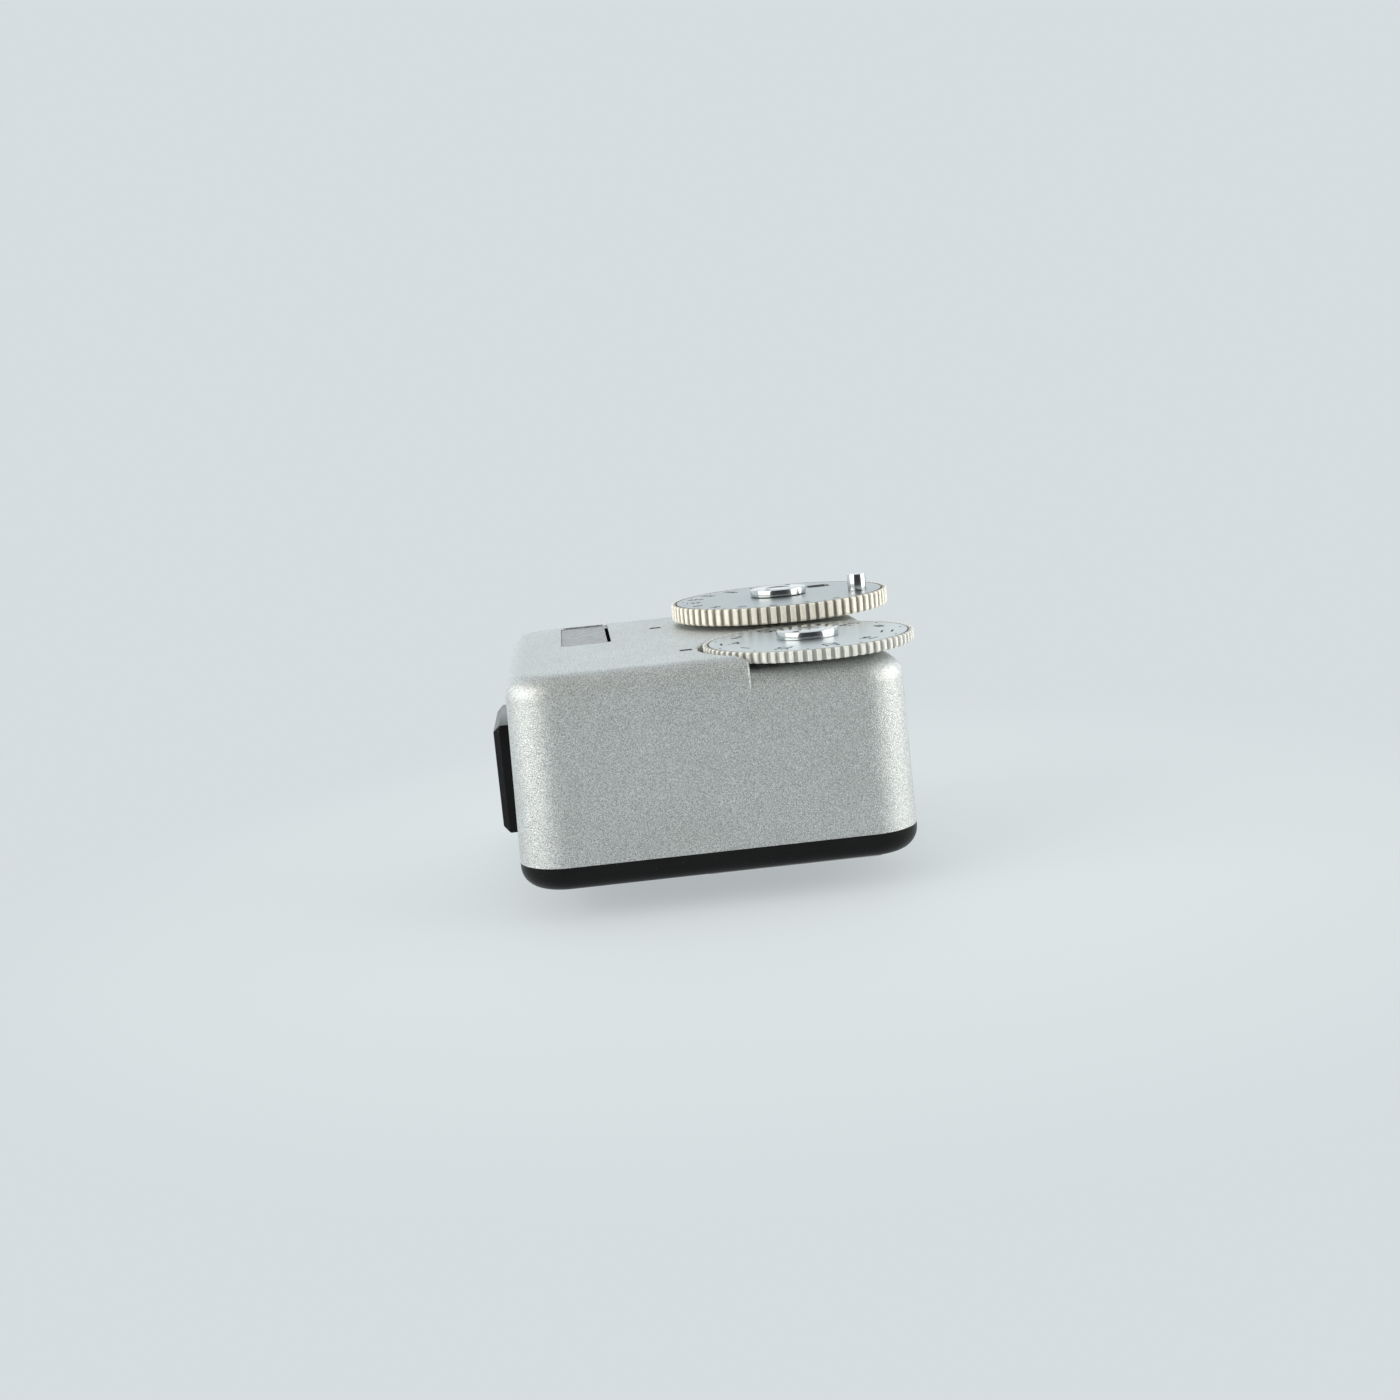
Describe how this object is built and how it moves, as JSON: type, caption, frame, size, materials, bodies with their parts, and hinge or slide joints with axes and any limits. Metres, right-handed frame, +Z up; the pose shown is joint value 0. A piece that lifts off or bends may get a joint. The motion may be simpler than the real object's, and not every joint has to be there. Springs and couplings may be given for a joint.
{
  "type": "clip-on light meter",
  "caption": "Clip-on exposure meter for an accessory shoe: drafted metal case, two toothed setting dials, lamp window, measuring button and shoe foot.",
  "frame": {"origin": "centre of the shoe foot's underside", "axes": "+Z up, +X the way the foot slides into the shoe, towards the subject; the measuring button is on the -X wall and the aperture dial towards -Y"},
  "size_m": [0.0454, 0.0453, 0.0289],
  "materials": {
    "housing_metal": "bead-blasted, satin anodised, with a fine sparkling grain",
    "base_black": "smooth satin black",
    "foot_metal": "bright nickel plate",
    "screw_metal": "plain bright steel",
    "dial_rim_metal": "bright, finely turned, cut with square teeth",
    "dial_face_metal": "pale satin, printed in black",
    "bright_nickel": "polished nickel",
    "scale_plate": "dark anodised, printed with plain numbers",
    "spindle_steel": "ground",
    "bush_brass": "turned",
    "window_tint": "smooth tinted",
    "button_black": "smooth black",
    "lamp_resin": "clear tinted resin",
    "inner_black": "moulded",
    "diffuser_white": "frosted milky white",
    "bezel_metal": "black anodised",
    "board_green": "solder-masked laminate",
    "chip_black": "moulded epoxy",
    "cell_steel": "nickel-plated can",
    "contact_gold": "gold-flashed spring bronze",
    "seal_rubber": "moulded"
  },
  "bodies": {
    "case": {"top_housing": "housing_metal", "base_plate": "base_black", "shoe_foot": "foot_metal", "foot_neck": "foot_metal", "backing_plate": "screw_metal", "foot_screws": "screw_metal", "case_screws": "screw_metal", "board_screws": "screw_metal", "shutter_bush": "bush_brass", "shutter_detent": "contact_gold", "aperture_bush": "bush_brass", "aperture_detent": "contact_gold", "display_window": "window_tint", "lamp_holder": "inner_black", "status_lamps": "lamp_resin", "circuit_board": "board_green", "controller_chip": "chip_black", "sensor_bezel": "bezel_metal", "sensor_diffuser": "diffuser_white", "photocell": "chip_black", "sensor_board": "board_green", "switch_housing": "inner_black", "switch_board": "board_green", "battery_tube": "inner_black", "button_cells": "cell_steel", "contact_spring": "contact_gold"},
    "shutter_dial": {"shutter_rim": "dial_rim_metal", "sensitivity_scale": "scale_plate", "shutter_nut": "bright_nickel", "shutter_spindle": "spindle_steel", "shutter_index_wheel": "bush_brass", "shutter_wiper": "contact_gold"},
    "shutter_plate": {"shutter_face": "dial_face_metal", "setting_pin": "bright_nickel"},
    "aperture_dial": {"aperture_rim": "dial_rim_metal", "aperture_face": "dial_face_metal", "aperture_nut": "bright_nickel", "aperture_spindle": "spindle_steel", "aperture_index_wheel": "bush_brass", "aperture_wiper": "contact_gold"},
    "button": {"measuring_button": "button_black", "switch_plunger": "inner_black"},
    "cap": {"battery_cap": "base_black", "cap_seal": "seal_rubber", "cap_contact": "contact_gold"}
  },
  "joints": [
    {"name": "shutter_dial_turn", "type": "hinge", "parent": "case", "child": "shutter_dial", "pos_m": [0.0029, 0.0102, 0.0267], "axis": [0, 0, 1], "range_deg": [-150, 150]},
    {"name": "sensitivity_turn", "type": "hinge", "parent": "shutter_dial", "child": "shutter_plate", "pos_m": [0.0029, 0.0102, 0.0267], "axis": [0, 0, 1], "range_deg": [-60, 60]},
    {"name": "aperture_dial_turn", "type": "hinge", "parent": "case", "child": "aperture_dial", "pos_m": [0.0029, -0.01185, 0.0242], "axis": [0, 0, 1], "range_deg": [-150, 150]},
    {"name": "button_press", "type": "slide", "parent": "case", "child": "button", "axis": [1, 0, 0], "range_m": [0, 0.0006], "stiffness_N_per_m": 900, "springref_m": -0.0004},
    {"name": "cap_turn", "type": "hinge", "parent": "case", "child": "cap", "pos_m": [-0.0185, 0.0098, 0.0031], "axis": [0, 0, -1], "range_deg": [0, 90]}
  ]
}
